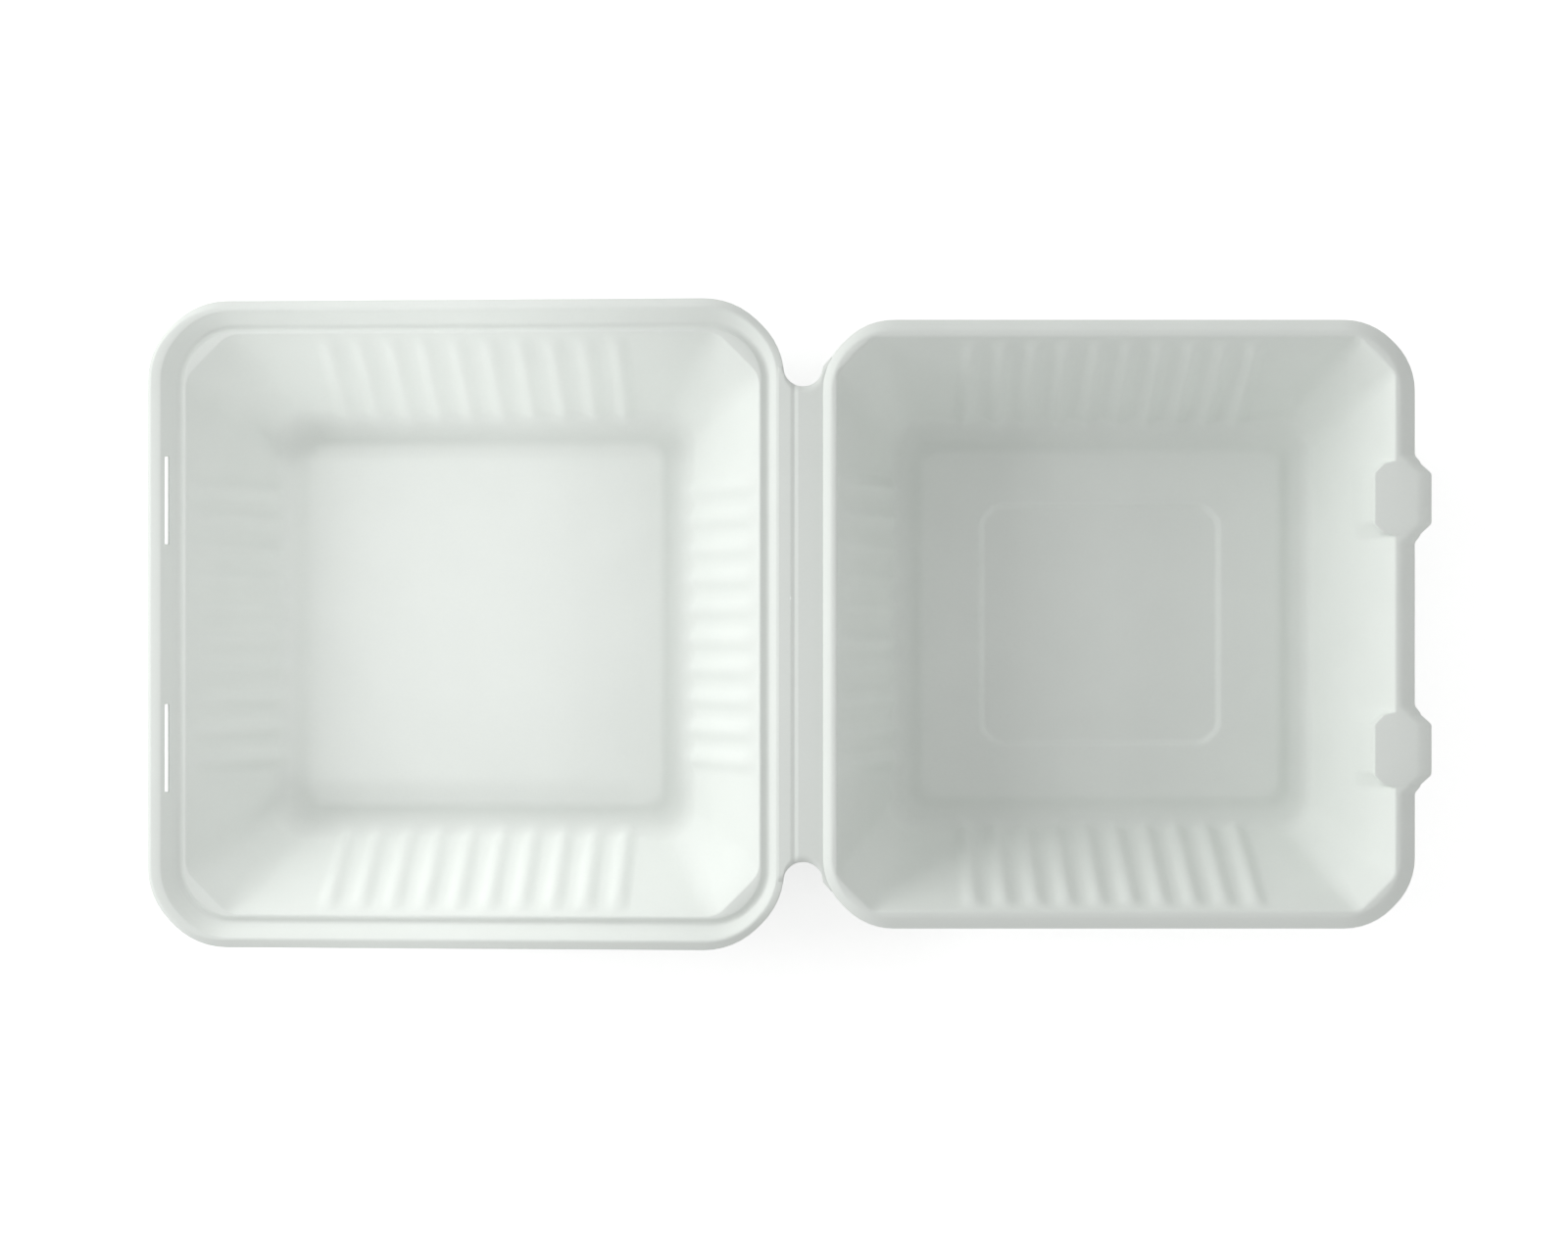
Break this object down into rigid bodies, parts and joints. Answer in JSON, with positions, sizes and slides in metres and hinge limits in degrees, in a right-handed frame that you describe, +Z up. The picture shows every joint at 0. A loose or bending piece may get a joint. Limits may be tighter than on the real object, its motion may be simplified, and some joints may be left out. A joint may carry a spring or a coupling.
{
  "type": "hinged food box",
  "caption": "Square moulded pulp meal box lying open: a deep base tray with tabs and a ribbed lid tray with slots, joined by a hinge web.",
  "frame": {"origin": "on the table under the middle of the open box", "axes": "+X from the lid across the hinge to the base, +Y along the hinge, +Z up"},
  "size_m": [0.4582, 0.232, 0.048],
  "materials": {
    "pulp": "matt moulded bagasse fibre, smooth on the tool side"
  },
  "bodies": {
    "base": {"base": "pulp"},
    "lid": {"lid": "pulp"}
  },
  "joints": [
    {"name": "lid_hinge", "type": "hinge", "parent": "base", "child": "lid", "pos_m": [0.00346, 0, 0.0457], "axis": [0, 1, 0], "range_deg": [0, 182.72]}
  ]
}
